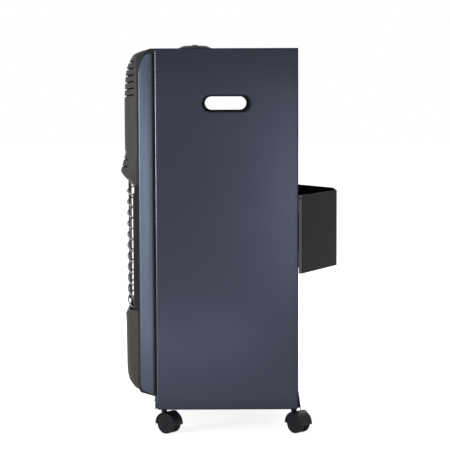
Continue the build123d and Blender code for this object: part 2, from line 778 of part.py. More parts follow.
def knob_spindle():
    square_top = tap_top_z + 5.0
    half = spindle_square / 2
    square = block(-half, half, tap_y - half, tap_y + half, tap_top_z - plug_length + 12.5, square_top)
    round_part = rod((0, tap_y, square_top + knob_press - 1.9), (0, tap_y, top_z + 8.0), spindle_radius)
    neck = block(-half, half, tap_y - half, tap_y + half, square_top, square_top + knob_press)
    return square + neck + round_part


def control_knob():
    skirt_z = top_z + 1.2 + knob_press + 0.5
    profile = polygon((0, skirt_z), (knob_radius, skirt_z), (knob_radius + 0.2, skirt_z + 1.8),
                      (knob_cap_radius, top_z + knob_rise - 0.3), (knob_cap_radius - 1.5, top_z + knob_rise),
                      (0, top_z + knob_rise + 0.4))
    knob = revolve(Plane.XZ * profile, axis=Axis.Z)
    grip = Rectangle(knob_grip_length, 2 * knob_grip_rise)
    crown = Pos(0, knob_grip_rise - knob_crown_radius) * Circle(knob_crown_radius)
    grip_face = (Pos(0, knob_grip_rise) * Rectangle(knob_grip_length, 12.0)) & crown
    grip_bar = extrude(Plane.XZ * grip_face, knob_grip_width / 2, both=True)
    grip_bar = fillet(grip_bar.edges().filter_by(Axis.Z), 5.0)
    knob += Pos(0, 0, top_z) * grip_bar
    knob += rod((0, 0, tap_top_z + 15 + knob_press + 0.8), (0, 0, skirt_z + 1), 7.0)
    knob -= rod((0, 0, tap_top_z + 10), (0, 0, top_z + 8.0), spindle_radius + 0.02)
    return Pos(0, tap_y, 0) * knob


def knob_bezel():
    rim = bezel_radius - 6.0
    profile = polygon((neck_radius + 2.0, 0), (bezel_radius, 0), (bezel_radius - 1.0, bezel_height - 1.5),
                      (bezel_radius - 3.0, bezel_height), (rim, bezel_height), (rim, 1.2), (neck_radius + 2.0, 1.2))
    return Pos(0, tap_y, top_z) * revolve(Plane.XZ * profile, axis=Axis.Z)


def tap_bracket():
    z = tap_top_z
    front = partition_y + sheet
    profile = folded([(front, z - 24), (front, z + heavy_sheet), (tap_y + 26, z + heavy_sheet)],
                     2.0, heavy_sheet, Side.RIGHT)
    plate = side_prism(profile, -46, piezo_x() + 10)
    return plate - rod((0, tap_y, z - 1), (0, tap_y, z + 3), neck_radius + 0.1)


def gas_inlet_nozzle():
    y = tap_y + tap_depth / 2
    z = tap_top_z - tap_height + 16.0
    nut = extrude(Pos(-20, y, z) * (Plane.XZ * RegularPolygon(8.5, 6)), 9, dir=(0, 1, 0))
    stem = rod((-20, y + 8, z), (-20, y + 34, z), 3.6)
    nozzle = nut + stem
    for barb in range(3):
        start = Plane(origin=(-20, y + 12 + barb * 7.0, z), z_dir=(0, 1, 0))
        nozzle += start * Cone(5.0, 3.6, 6, align=(Align.CENTER, Align.CENTER, Align.MIN))
    return nozzle - rod((-20, y + 5, z), (-20, y + 40, z), 2.2)


# ---------------------------------------------------------------- bottle guard
def guard_tab_x():
    return half_width - guard_inset


def hook_places():
    return [(rear_y - 12.0, guard_bottom_z + 27.0), (rear_y - 12.0, guard_top_z - 19.0)]


def bottle_guard():
    tab_x = guard_tab_x()
    ear_y = rear_y - hook_ear_depth
    corner_y = rear_y + guard_strip
    back_y = rear_y + guard_reach
    half_back = guard_back_width / 2
    outline = [(-tab_x, ear_y), (-tab_x, corner_y), (-half_back, back_y), (half_back, back_y),
               (tab_x, corner_y), (tab_x, ear_y)]
    band = plan_prism(folded(outline, [2.5, guard_corner_radius, guard_corner_radius, 2.5], heavy_sheet, Side.RIGHT),
                      guard_bottom_z, guard_top_z)
    inboard = tab_x - 2 * heavy_sheet
    edge = rear_y + 1.2
    cuts = Part()
    levels = [guard_bottom_z - 1]
    for _, z in hook_places():
        levels += [z - hook_ear_height / 2, z + hook_ear_height / 2]
    levels += [guard_top_z + 1]
    for low, high in zip(levels[0::2], levels[1::2]):
        cuts += block(inboard, tab_x + 1, ear_y - 1, edge, low, high)
    for y, z in hook_places():
        radius = hook_pin_radius + hook_clearance
        cuts += rod((inboard, y, z), (tab_x + 1, y, z), radius)
        cuts += block(inboard, tab_x + 1, y - radius, y + radius, z - hook_ear_height / 2 - 1, z)
    cuts += rod((inboard, rear_y + 4.4, guard_top_z - 7.0), (tab_x + 1, rear_y + 4.4, guard_top_z - 7.0), 1.6)
    return band - both_sides(cuts)


def guard_hook_pins():
    pins = Part()
    tab_x = guard_tab_x()
    head_x = tab_x - heavy_sheet - seat_gap
    for y, z in hook_places():
        pins += rod((inner_x, y, z), (tab_x + seat_gap, y, z), hook_head_radius)
        pins += rod((inner_x, y, z), (head_x, y, z), hook_pin_radius)
        pins += rod((head_x, y, z), (head_x - 1.5, y, z), hook_head_radius)
    return both_sides(pins)


# ---------------------------------------------------------------- screws
def pan_screw(x, y, z, direction):
    head = rod((x, y, z), (x, y + direction * 2.0, z), 3.4)
    shank = rod((x, y, z), (x, y - direction * 12.0, z), 1.5)
    return head + shank


def fascia_screws():
    post_x = fascia_half_width - fascia_wall - 6.0
    screws = Part()
    for z in upper_post_heights() + lower_post_heights():
        screws += pan_screw(post_x, front_y + sheet, z, 1)
    return both_sides(screws)


# ---------------------------------------------------------------- castors
def castor_places():
    """Name, stem x, stem y and swivel angle of each castor."""
    front = front_y + front_castor_setback
    rear = rear_y - rear_castor_inset
    return [("front_right", castor_x, front, front_castor_turn), ("front_left", -castor_x, front, front_castor_turn),
            ("rear_right", castor_x, rear, rear_castor_turn), ("rear_left", -castor_x, rear, far_castor_turn)]


def castor_sockets():
    sockets = Part()
    for _, x, y, _ in castor_places():
        bush = rod((x, y, base_z + seat_gap), (x, y, floor_z - heavy_sheet), castor_collar_radius)
        sockets += bush - rod((x, y, base_z), (x, y, floor_z - heavy_sheet - 1.0), castor_stem_radius + running_gap)
    return sockets


def wheel_span():
    inner = castor_web / 2 + castor_wheel_gap
    return inner, inner + castor_wheel_width


def castor_hood():
    """Hood, web, collar and stem of one castor, with the stem on the Z axis and the wheels trailing to +X."""
    axle = (castor_trail, castor_wheel_radius)
    reach = wheel_span()[1]
    inside = castor_hood_radius - castor_hood_wall
    cap = Ellipse(castor_hood_radius + castor_tip_flare, castor_hood_radius) - Circle(inside)
    cap -= Pos(0, -castor_hood_radius / 2 - 2.0) * Rectangle(3 * castor_hood_radius, castor_hood_radius)
    below = Pos(0, -castor_hood_radius / 2) * Rectangle(3 * castor_hood_radius, castor_hood_radius)
    web = Circle(castor_wheel_radius - 3.0) + (Circle(inside + 0.5) - below)
    hood = front_prism(Pos(*axle) * cap, -reach, reach)
    hood += front_prism(Pos(*axle) * web, -castor_web / 2, castor_web / 2)
    seat_z = axle[1] + math.sqrt(inside ** 2 - (castor_trail - 3.0) ** 2)
    hood += rod((0, 0, seat_z), (0, 0, base_z), castor_collar_radius)
    hood += rod((0, 0, base_z - 2), (0, 0, base_z + castor_stem_length), castor_stem_radius)
    wheel_room = rod((axle[0], -reach - 5, axle[1]), (axle[0], -castor_web / 2, axle[1]), inside)
    wheel_room += rod((axle[0], reach + 5, axle[1]), (axle[0], castor_web / 2, axle[1]), inside)
    hood -= wheel_room
    return hood - rod((axle[0], -10, axle[1]), (axle[0], 10, axle[1]), castor_axle_radius + 0.01)


def castor_axle():
    reach = wheel_span()[1] - 1.0
    z = castor_wheel_radius
    return rod((castor_trail, -reach, z), (castor_trail, reach, z), castor_axle_radius)


def castor_wheel(side):
    inner, outer = wheel_span()
    rim = castor_wheel_radius
    profile = polygon((castor_axle_radius + running_gap, inner), (rim - 1.2, inner), (rim, inner + 1.2),
                      (rim, outer - 2.6), (rim - 0.8, outer - 1.2), (rim - 2.6, outer - 0.4),
                      (castor_axle_radius + running_gap, outer))
    wheel = revolve(profile, axis=Axis.Y)
    wheel = Pos(castor_trail, 0, castor_wheel_radius) * wheel
    return wheel if side > 0 else mirror(wheel, about=Plane.XZ)


def place_castor(shape, x, y, turn):
    """The trail direction (sin turn, cos turn) is the shape's +X turned about the stem."""
    return Pos(x, y, 0) * (Rot(0, 0, 90 - turn) * shape)


# ---------------------------------------------------------------- nodes
def heater_nodes():
    right_panel = side_panel()
    post_x = fascia_half_width - fascia_wall - 6.0
    holes = [(post_x, z) for z in upper_post_heights() + lower_post_heights()]
    right_panel = screw_holes(right_panel, holes, 1.8, front_y - 1, front_y + 2)
    cheek = front_cheek()
    pillar = front_pillar()
    nodes = {
        "side_panel_right": right_panel,
        "side_panel_left": mirror(right_panel, about=Plane.YZ),
        "top_panel": top_panel(),
        "rear_top_rail": rear_top_rail(),
        "base_tray": base_tray(),
        "bay_partition": bay_partition(),
        "front_cheek_right": cheek,
        "front_cheek_left": mirror(cheek, about=Plane.YZ),
        "front_pillar_right": pillar,
        "front_pillar_left": mirror(pillar, about=Plane.YZ),
        "upper_fascia": upper_fascia(),
        "lower_fascia": lower_fascia(),
        "fascia_screws": fascia_screws(),
        "burner_surround": burner_surround(),
        "wire_grille": wire_grille(),
        "reflector": reflector(),
        "heat_deflector": heat_deflector(),
        "pilot_burner": pilot_burner(),
        "thermocouple": thermocouple(),
        "spark_electrode": spark_electrode(),
        "igniter_lead": igniter_lead(),
        "piezo_igniter": piezo_igniter(),
        "burner_pipes": burner_pipes(),
        "pilot_pipe": pilot_pipe(),
        "injectors": injectors(),
        "injector_rail": injector_rail(),
        "gas_tap_body": gas_tap_body(),
        "tap_bracket": tap_bracket(),
        "tap_plug": tap_plug(),
        "gas_inlet_nozzle": gas_inlet_nozzle(),
        "knob_spindle": knob_spindle(),
        "control_knob": control_knob(),
        "knob_bezel": knob_bezel(),
        "bottle_guard": bottle_guard(),
        "guard_hook_pins": guard_hook_pins(),
        "castor_sockets": castor_sockets(),
    }
    screens = Part()
    for number, x in enumerate(burner_centres(), start=1):
        nodes[f"burner_body_{number}"] = burner_body(x)
        nodes[f"burner_plaque_{number}"] = burner_plaque(x)
        screens += burner_screen(x)
    nodes["burner_screens"] = screens
    for name, x, y, turn in castor_places():
        nodes[f"castor_hood_{name}"] = place_castor(castor_hood(), x, y, turn)
        nodes[f"castor_axle_{name}"] = place_castor(castor_axle(), x, y, turn)
        nodes[f"castor_wheel_{name}_1"] = place_castor(castor_wheel(-1), x, y, turn)
        nodes[f"castor_wheel_{name}_2"] = place_castor(castor_wheel(1), x, y, turn)
    return nodes


os.makedirs("parts", exist_ok=True)
for node_name, shape in heater_nodes().items():
    export_step(shape, f"parts/{node_name}.step")
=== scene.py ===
import json
import math

import bpy
from mathutils import Matrix, Vector


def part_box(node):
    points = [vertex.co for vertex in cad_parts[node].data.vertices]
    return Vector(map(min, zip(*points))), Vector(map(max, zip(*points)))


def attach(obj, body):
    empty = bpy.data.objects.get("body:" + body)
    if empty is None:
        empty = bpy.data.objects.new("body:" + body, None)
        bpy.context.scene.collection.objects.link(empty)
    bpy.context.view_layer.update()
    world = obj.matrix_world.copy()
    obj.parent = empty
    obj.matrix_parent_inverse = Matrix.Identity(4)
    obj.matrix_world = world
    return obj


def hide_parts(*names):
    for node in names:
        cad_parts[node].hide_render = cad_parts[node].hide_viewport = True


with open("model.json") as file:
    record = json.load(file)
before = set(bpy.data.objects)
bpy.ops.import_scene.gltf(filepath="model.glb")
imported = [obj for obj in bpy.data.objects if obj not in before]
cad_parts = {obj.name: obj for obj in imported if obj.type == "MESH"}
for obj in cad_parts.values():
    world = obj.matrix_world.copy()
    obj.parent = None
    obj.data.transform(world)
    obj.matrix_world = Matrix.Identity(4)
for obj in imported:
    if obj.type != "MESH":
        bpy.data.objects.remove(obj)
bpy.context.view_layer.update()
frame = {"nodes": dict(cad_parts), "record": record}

MM = 0.001
nodes = frame["nodes"]
joints = {joint["name"]: joint for joint in frame["record"]["behaviour"]["joints"]}
slot_of = {entry["node"]: entry["material_slot"] for entry in frame["record"]["subparts"]}
body_with = {node: body for body, held in frame["record"]["behaviour"]["bodies"].items() for node in held}

panel_low, panel_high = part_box("side_panel_right")
front_y, rear_y = panel_low[1], panel_high[1]
base_z = panel_low[2]


# ---------------------------------------------------------------- shader steps
def ramp(tree, source, start, stop, low=0.0, high=1.0, interpolation="LINEAR"):
    """A clamped run from low, where source is start, to high, where it is stop."""
    run = tree.nodes.new("ShaderNodeMapRange")
    run.interpolation_type = interpolation
    tree.links.new(source, run.inputs["Value"])
    for label, end in (("From Min", start), ("From Max", stop), ("To Min", low), ("To Max", high)):
        if isinstance(end, bpy.types.NodeSocket):
            tree.links.new(end, run.inputs[label])
        else:
            run.inputs[label].default_value = end
    return run.outputs["Result"]


def math_step(tree, operation, source, other=0.0):
    """One Math node on a socket and a second socket or number."""
    step = tree.nodes.new("ShaderNodeMath")
    step.operation = operation
    tree.links.new(source, step.inputs[0])
    if isinstance(other, bpy.types.NodeSocket):
        tree.links.new(other, step.inputs[1])
    else:
        step.inputs[1].default_value = other
    return step.outputs[0]


def product(tree, factors):
    total = factors[0]
    for factor in factors[1:]:
        total = math_step(tree, "MULTIPLY", total, factor)
    return total


# ---------------------------------------------------------------- camera and studio
camera_place = (3.1838, -0.0237, 0.6721)
camera_turn, camera_tip, camera_roll = 90.0 - 0.206, 90.0 - 4.775, -0.218
camera_lens = 120.69

softboxes = {
    # name: (place, aim, width, height, power)
    "overhead_softbox": ((0.4, -0.9, 2.6), (0.05, 0, 0.5), 2.0, 2.0, 30),
    "front_softbox": ((1.7, -2.4, 0.55), (0.15, -0.15, 0.42), 0.9, 0.7, 44),
    "pillar_softbox": ((2.8, -1.05, 0.33), (0.2, -0.16, 0.45), 0.8, 0.26, 6.0),
    "pillar_edge_softbox": ((2.5, -1.75, 0.36), (0.2, -0.18, 0.5), 0.3, 0.9, 2.6),
    "rear_side_softbox": ((2.8, 0.34, 0.27), (0.2, 0.13, 0.48), 0.3, 0.75, 2.5),
    "low_softbox": ((0.95, -0.22, 0.07), (0.2, -0.05, 0.18), 0.6, 0.12, 0.2),
    "side_softbox": ((2.0, 1.5, 0.55), (0.2, 0.1, 0.35), 1.0, 0.9, 9),
    "back_softbox": ((-2.6, 1.2, 1.4), (0, 0, 0.4), 1.4, 1.4, 14),
}
room_light = 0.40
paper_grey = 0.80
paper_glow = 0.80


def photo_camera():
    """The photograph's side view: a long lens level with the hand slots, tipped slightly down."""
    data = bpy.data.cameras.new("photo_camera")
    data.sensor_width = 36.0
    data.lens = camera_lens
    data.clip_end = 60.0
    camera = bpy.data.objects.new("photo_camera", data)
    bpy.context.scene.collection.objects.link(camera)
    turn = Matrix.Rotation(math.radians(camera_turn), 4, "Z")
    tip = Matrix.Rotation(math.radians(camera_tip), 4, "X")
    roll = Matrix.Rotation(math.radians(camera_roll), 4, "Z")
    camera.matrix_world = Matrix.Translation(camera_place) @ turn @ tip @ roll
    bpy.context.scene.camera = camera


def studio_lights():
    for name, (place, aim, width, height, power) in softboxes.items():
        data = bpy.data.lights.new(name, "AREA")
        data.shape = "RECTANGLE"
        data.size = width
        data.size_y = height
        data.energy = power
        lamp = bpy.data.objects.new(name, data)
        lamp.location = place
        lamp.rotation_euler = (Vector(aim) - Vector(place)).to_track_quat("-Z", "Y").to_euler()
        bpy.context.scene.collection.objects.link(lamp)


def seen_directly(tree):
    """1 for what the camera, a reflection or a see-through ray meets, 0 for the light that falls on the heater."""
    path = tree.nodes.new("ShaderNodeLightPath")
    either = path.outputs["Is Camera Ray"]
    for ray in ("Is Glossy Ray", "Is Transmission Ray"):
        either = math_step(tree, "MAXIMUM", either, path.outputs[ray])
    return either


def studio_world():
    world = bpy.data.worlds.new("studio_air")
    world.use_nodes = True
    tree = world.node_tree
    air = tree.nodes["Background"]
    air.inputs["Color"].default_value = (1, 1, 1, 1)
    tree.links.new(ramp(tree, seen_directly(tree), 0.0, 1.0, room_light, 1.0), air.inputs["Strength"])
    bpy.context.scene.world = world


def studio_floor():
    """Pale paper that runs out to white where no shadow falls on it."""
    bpy.ops.mesh.primitive_plane_add(size=40.0, location=(0, 0, 0))
    floor = bpy.context.object
    floor.name = "studio_floor"
    paper = bpy.data.materials.new("pale_paper")
    paper.use_nodes = True
    tree = paper.node_tree
    shade = tree.nodes["Principled BSDF"]
    shade.inputs["Base Color"].default_value = (paper_grey, paper_grey, paper_grey, 1)
    shade.inputs["Roughness"].default_value = 0.95
    shade.inputs["Specular IOR Level"].default_value = 0.0
    glow = tree.nodes.new("ShaderNodeEmission")
    both = tree.nodes.new("ShaderNodeAddShader")
    tree.links.new(math_step(tree, "MULTIPLY", seen_directly(tree), paper_glow), glow.inputs["Strength"])
    tree.links.new(shade.outputs["BSDF"], both.inputs[0])
    tree.links.new(glow.outputs["Emission"], both.inputs[1])
    tree.links.new(both.outputs["Shader"], tree.nodes["Material Output"].inputs["Surface"])
    floor.data.materials.append(paper)


# ---------------------------------------------------------------- surface effects
noise_low, noise_high = 0.3, 0.7
pillar_rear_growth = 3.0 * MM
slot_middle_y, slot_middle_z = -9.2 * MM, 663.0 * MM
slot_half_straight = 31.65 * MM
slot_radius = 14.75 * MM
tile_cells_per_metre = 385.0


def effect_group(name, inputs, outputs):
    group = bpy.data.node_groups.new(name, "ShaderNodeTree")
    for label, kind, value in inputs:
        socket = group.interface.new_socket(label, in_out="INPUT", socket_type=kind)
        socket.default_value = value
    for label, kind in outputs:
        group.interface.new_socket(label, in_out="OUTPUT", socket_type=kind)
    group.nodes.new("NodeGroupInput")
    group.nodes.new("NodeGroupOutput")
    return group


def place_noise(group, scale, detail, roughness=0.5, stretch=(1, 1, 1)):
    """Noise on Object coordinates, in metres, so the pattern stays put on the piece."""
    place = group.nodes.new("ShaderNodeTexCoord")
    turn = group.nodes.new("ShaderNodeMapping")
    turn.inputs["Scale"].default_value = stretch
    noise = group.nodes.new("ShaderNodeTexNoise")
    noise.inputs["Scale"].default_value = scale
    noise.inputs["Detail"].default_value = detail
    noise.inputs["Roughness"].default_value = roughness
    group.links.new(place.outputs["Object"], turn.inputs["Vector"])
    group.links.new(turn.outputs["Vector"], noise.inputs["Vector"])
    return noise.outputs["Fac"]


def surface_group(name, grain, cloud, stretch=(1, 1, 1)):
    """Colour that drifts between two shades, roughness between two values, and a fine grain height."""
    group = effect_group(name, [("Shade", "NodeSocketColor", (0.5, 0.5, 0.5, 1)),
                                ("Second Shade", "NodeSocketColor", (0.5, 0.5, 0.5, 1)),
                                ("Smoothest", "NodeSocketFloat", 0.3), ("Roughest", "NodeSocketFloat", 0.5)],
                         [("Base Color", "NodeSocketColor"), ("Roughness", "NodeSocketFloat"),
                          ("Height", "NodeSocketFloat")])
    given = group.nodes["Group Input"].outputs
    result = group.nodes["Group Output"].inputs
    drift = place_noise(group, cloud, 3.0)
    fine = place_noise(group, grain, 2.0, 0.6, stretch)
    blend = group.nodes.new("ShaderNodeMix")
    blend.data_type = "RGBA"
    group.links.new(ramp(group, drift, noise_low, noise_high), blend.inputs["Factor"])
    group.links.new(given["Shade"], blend.inputs["A"])
    group.links.new(given["Second Shade"], blend.inputs["B"])
    group.links.new(blend.outputs["Result"], result["Base Color"])
    rough = ramp(group, fine, noise_low, noise_high, given["Smoothest"], given["Roughest"])
    group.links.new(rough, result["Roughness"])
    group.links.new(fine, result["Height"])
    return group


def mask_group(name):
    return effect_group(name, [], [("Mask", "NodeSocketFloat")])


def with_mask(group, mask):
    group.links.new(mask, group.nodes["Group Output"].inputs["Mask"])
    return group


def object_axes(group):
    """X, Y and Z in metres, fixed to the piece."""
    place = group.nodes.new("ShaderNodeTexCoord")
    axes = group.nodes.new("ShaderNodeSeparateXYZ")
    group.links.new(place.outputs["Object"], axes.inputs["Vector"])
    return axes.outputs


def fall_group(name, bands):
    """A mask that is 1 on the flats and falls to its least value at each band's edge.

    A band is (axis, edge, width inwards from the edge, least value).
    """
    group = mask_group(name)
    axes = object_axes(group)
    return with_mask(group, product(group, [
        ramp(group, axes[axis], edge, edge + inward, least, 1.0, "SMOOTHSTEP")
        for axis, edge, inward, least in bands]))


def edge_shade_group():
    """Painted shade: darker colour towards the rear, bottom and top folds of the cabinet."""
    return fall_group("folded_edge_painted_shade", [
        ("Y", rear_y, -14 * MM, 0.86), ("Y", rear_y, -3.4 * MM, 0.30),
        ("Z", base_z, 30 * MM, 0.80), ("Z", base_z, 3.4 * MM, 0.30),
        ("Z", panel_high[2], -100 * MM, 0.80), ("Z", panel_high[2], -3.0 * MM, 0.55)])


def pillar_shade_group():
    """Painted shade: darker colour where the pillar turns in towards the gap behind it, and at its foot and top."""
    low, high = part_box("front_pillar_right")
    return fall_group("pillar_rear_painted_shade", [
        ("Y", high[1] + pillar_rear_growth, -6 * MM, 0.10),
        ("Z", low[2], 180 * MM, 0.66), ("Z", high[2], -150 * MM, 0.78)])


def fascia_shade_group():
    """Painted shade: darker colour in the corner where the fascias meet the cheeks."""
    cheek_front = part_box("front_cheek_right")[0][1]
    return fall_group("fascia_corner_painted_shade", [("Y", cheek_front, -5 * MM, 0.42)])


def slot_shade_group():
    """A ring of painted shade round the hand slots, by the distance from the slot's middle line."""
    group = mask_group("hand_slot_painted_shade")
    axes = object_axes(group)
    along = math_step(group, "ABSOLUTE", math_step(group, "SUBTRACT", axes["Y"], slot_middle_y))
    along = math_step(group, "MAXIMUM", math_step(group, "SUBTRACT", along, slot_half_straight))
    across = math_step(group, "SUBTRACT", axes["Z"], slot_middle_z)
    offset = group.nodes.new("ShaderNodeCombineXYZ")
    group.links.new(along, offset.inputs["X"])
    group.links.new(across, offset.inputs["Y"])
    distance = group.nodes.new("ShaderNodeVectorMath")
    distance.operation = "LENGTH"
    group.links.new(offset.outputs["Vector"], distance.inputs[0])
    return with_mask(group, ramp(group, distance.outputs["Value"], slot_radius + 1.0 * MM, slot_radius + 4.2 * MM,
                                 0.12, 1.0, "SMOOTHSTEP"))


def hem_glint_group():
    """1 on the front bend of the side panels, where a painted highlight makes a line brighter than the flats."""
    group = mask_group("painted_hem_highlight")
    axes = object_axes(group)
    side_x = math_step(group, "ABSOLUTE", axes["X"])
    return with_mask(group, product(group, [
        ramp(group, axes["Y"], front_y + 2.4 * MM, front_y + 1.4 * MM),
        ramp(group, side_x, panel_high[0] - 3.0 * MM, panel_high[0] - 1.5 * MM),
        ramp(group, axes["Z"], base_z + 8 * MM, base_z + 40 * MM)]))


def pierced_group():
    """A mask of small round holes on a square lattice laid cornerwise, 2.6 mm apart."""
    group = mask_group("pierced_tile")
    place = group.nodes.new("ShaderNodeTexCoord")
    turn = group.nodes.new("ShaderNodeMapping")
    turn.inputs["Rotation"].default_value = (0, math.radians(45), 0)
    turn.inputs["Scale"].default_value = (1, 0, 1)
    cells = group.nodes.new("ShaderNodeTexVoronoi")
    cells.inputs["Scale"].default_value = tile_cells_per_metre
    cells.inputs["Randomness"].default_value = 0.0
    group.links.new(place.outputs["Object"], turn.inputs["Vector"])
    group.links.new(turn.outputs["Vector"], cells.inputs["Vector"])
    return with_mask(group, ramp(group, cells.outputs["Distance"], 0.24, 0.32, 1.0, 0.0))


# ---------------------------------------------------------------- finishes
relief_depth = 0.2 * MM
# the near-black tint that the painted shade masks mix in
painted_shade_black = (8, 8, 10)

grains = {
    # name: (grain and cloud, in cells per metre, and the grain's stretch)
    "orange_peel": (900.0, 3.0, (1, 1, 1)),
    "mould_grain": (1400.0, 9.0, (1, 1, 1)),
    "brushed_grain": (260.0, 14.0, (1, 1, 14)),
    "cast_skin": (420.0, 30.0, (1, 1, 1)),
}

finish_table = {
    # name: (grain, shade, second shade, smoothest, roughest, bump, the shader's own values)
    "cabinet_paint": ("orange_peel", (52, 55, 66), (56, 59, 70), 0.17, 0.25, 0.07,
                      {"Metallic": 0.8, "Specular IOR Level": 0.12, "Specular Tint": (0.25, 0.27, 0.32, 1)}),
    "black_paint": ("orange_peel", (17, 15, 18), (21, 19, 22), 0.38, 0.52, 0.15, {"Specular IOR Level": 0.2}),
    "guard_paint": ("orange_peel", (17, 15, 17), (22, 20, 21), 0.34, 0.46, 0.15, {"Specular IOR Level": 0.035}),
    # the next finish is the guard paint made lighter and glossier for the faces that look sideways: painted light
    "guard_side_painted_light": ("orange_peel", (34, 36, 41), (38, 40, 45), 0.3, 0.4, 0.15, {"Specular IOR Level": 0.5}),
    # pillar_metal is the cabinet's blue paint made lighter: painted light where the pillars face the front
    "pillar_metal": ("orange_peel", (67, 76, 89), (71, 80, 93), 0.24, 0.34, 0.06,
                     {"Metallic": 0.75, "Specular IOR Level": 0.2}),
    "fascia_moulding": ("mould_grain", (57, 55, 55), (61, 59, 57), 0.42, 0.6, 0.2, {"Specular IOR Level": 0.12}),
    "lower_moulding": ("mould_grain", (54, 50, 49), (58, 54, 52), 0.42, 0.6, 0.2, {"Specular IOR Level": 0.12}),
    "chamber_steel": ("brushed_grain", (150, 148, 144), (128, 122, 114), 0.3, 0.5, 0.1, {"Metallic": 1.0}),
    "zinc_steel": ("brushed_grain", (184, 184, 180), (160, 160, 158), 0.25, 0.42, 0.1, {"Metallic": 1.0}),
    "reflector_steel": ("brushed_grain", (196, 194, 190), (170, 160, 146), 0.12, 0.26, 0.05, {"Metallic": 1.0}),
    "grille_wire": ("brushed_grain", (70, 70, 73), (58, 58, 61), 0.24, 0.36, 0.05,
                    {"Metallic": 0.5, "Specular IOR Level": 0.2}),
    "burner_mesh": ("brushed_grain", (96, 90, 84), (70, 62, 56), 0.45, 0.7, 0.1, {"Metallic": 0.9}),
    "burner_ceramic": ("cast_skin", (226, 214, 194), (206, 188, 162), 0.8, 0.95, 0.4, {}),
    "electrode_ceramic": ("cast_skin", (236, 234, 226), (226, 222, 212), 0.2, 0.3, 0.05, {}),
    "copper_lead": ("brushed_grain", (186, 118, 80), (150, 88, 60), 0.3, 0.45, 0.1, {"Metallic": 1.0}),
    "lead_sheath": ("mould_grain", (30, 30, 31), (36, 36, 37), 0.45, 0.6, 0.1, {"Specular IOR Level": 0.2}),
    "pipe_steel": ("brushed_grain", (170, 172, 174), (150, 152, 156), 0.28, 0.4, 0.1, {"Metallic": 1.0}),
    "brass": ("brushed_grain", (196, 158, 92), (170, 130, 70), 0.25, 0.4, 0.08, {"Metallic": 1.0}),
    "tap_casting": ("cast_skin", (158, 160, 162), (140, 142, 146), 0.4, 0.58, 0.35, {"Metallic": 0.9}),
    "knob_plastic": ("mould_grain", (26, 26, 29), (31, 31, 34), 0.3, 0.45, 0.1, {"Specular IOR Level": 0.1}),
    "castor_plastic": ("mould_grain", (26, 25, 29), (31, 30, 34), 0.4, 0.55, 0.15, {"Specular IOR Level": 0.15}),
    "castor_wheel": ("mould_grain", (20, 19, 23), (26, 25, 29), 0.5, 0.7, 0.2, {"Specular IOR Level": 0.1}),
    "dial_ink": ("mould_grain", (206, 206, 204), (196, 196, 194), 0.4, 0.5, 0.05, {}),
}


def srgb(red, green, blue):
    def linear(level):
        level /= 255.0
        return level / 12.92 if level <= 0.04045 else ((level + 0.055) / 1.055) ** 2.4
    return (linear(red), linear(green), linear(blue), 1.0)


def finish(name, group, shade, second, smoothest, roughest, bump, own_values):
    material = bpy.data.materials.new(name)
    material.use_nodes = True
    tree = material.node_tree
    surface = tree.nodes["Principled BSDF"]
    for label, value in own_values.items():
        surface.inputs[label].default_value = value
    effect = tree.nodes.new("ShaderNodeGroup")
    effect.node_tree = group
    effect.inputs["Shade"].default_value = srgb(*shade)
    effect.inputs["Second Shade"].default_value = srgb(*second)
    effect.inputs["Smoothest"].default_value = smoothest
    effect.inputs["Roughest"].default_value = roughest
    relief = tree.nodes.new("ShaderNodeBump")
    relief.inputs["Strength"].default_value = bump
    relief.inputs["Distance"].default_value = relief_depth
    tree.links.new(effect.outputs["Base Color"], surface.inputs["Base Color"])
    tree.links.new(effect.outputs["Roughness"], surface.inputs["Roughness"])
    tree.links.new(effect.outputs["Height"], relief.inputs["Height"])
    tree.links.new(relief.outputs["Normal"], surface.inputs["Normal"])
    return material


def tinted(material, group, tint, over=True):
    """Mix tint with the material's base colour: over where the group's mask is 1, or else where it is 0."""
    tree = material.node_tree
    surface = tree.nodes["Principled BSDF"]
    effect = tree.nodes.new("ShaderNodeGroup")
    effect.node_tree = group
    blend = tree.nodes.new("ShaderNodeMix")
    blend.data_type = "RGBA"
    under, top = ("A", "B") if over else ("B", "A")
    tree.links.new(surface.inputs["Base Color"].links[0].from_socket, blend.inputs[under])
    blend.inputs[top].default_value = srgb(*tint)
    tree.links.new(effect.outputs["Mask"], blend.inputs["Factor"])
    tree.links.new(blend.outputs["Result"], surface.inputs["Base Color"])


def all_finishes():
    groups = {name: surface_group(name, *settings) for name, settings in grains.items()}
    finishes = {name: finish(name, groups[grain], *settings) for name, (grain, *settings) in finish_table.items()}
    # painted shade towards the cabinet's rear, bottom and top folds
    tinted(finishes["cabinet_paint"], edge_shade_group(), painted_shade_black, over=False)
    # painted shade round the hand slots
    tinted(finishes["cabinet_paint"], slot_shade_group(), painted_shade_black, over=False)
    # a painted highlight along the side panels' front bend
    tinted(finishes["cabinet_paint"], hem_glint_group(), (93, 96, 103))
    # painted shade on the pillars' rear edge, foot and top
    tinted(finishes["pillar_metal"], pillar_shade_group(), painted_shade_black, over=False)
    # painted shade in the fascias' corners beside the cheeks
    corner_painted_shade = fascia_shade_group()
    for name in ("fascia_moulding", "lower_moulding"):
        tinted(finishes[name], corner_painted_shade, painted_shade_black, over=False)
    # the plaques' holes, drawn as a dark brown tint: the hole pattern is the plaques' own, the darkness in it is
    # painted shade
    tinted(finishes["burner_ceramic"], pierced_group(), (74, 50, 40))
    return finishes


# ---------------------------------------------------------------- working on pieces
def pick(piece):
    bpy.ops.object.select_all(action="DESELECT")
    piece.select_set(True)
    bpy.context.view_layer.objects.active = piece


def enter(piece):
    pick(piece)
    bpy.ops.object.mode_set(mode="EDIT")
    bpy.ops.mesh.select_all(action="SELECT")


def leave():
    bpy.ops.object.mode_set(mode="OBJECT")


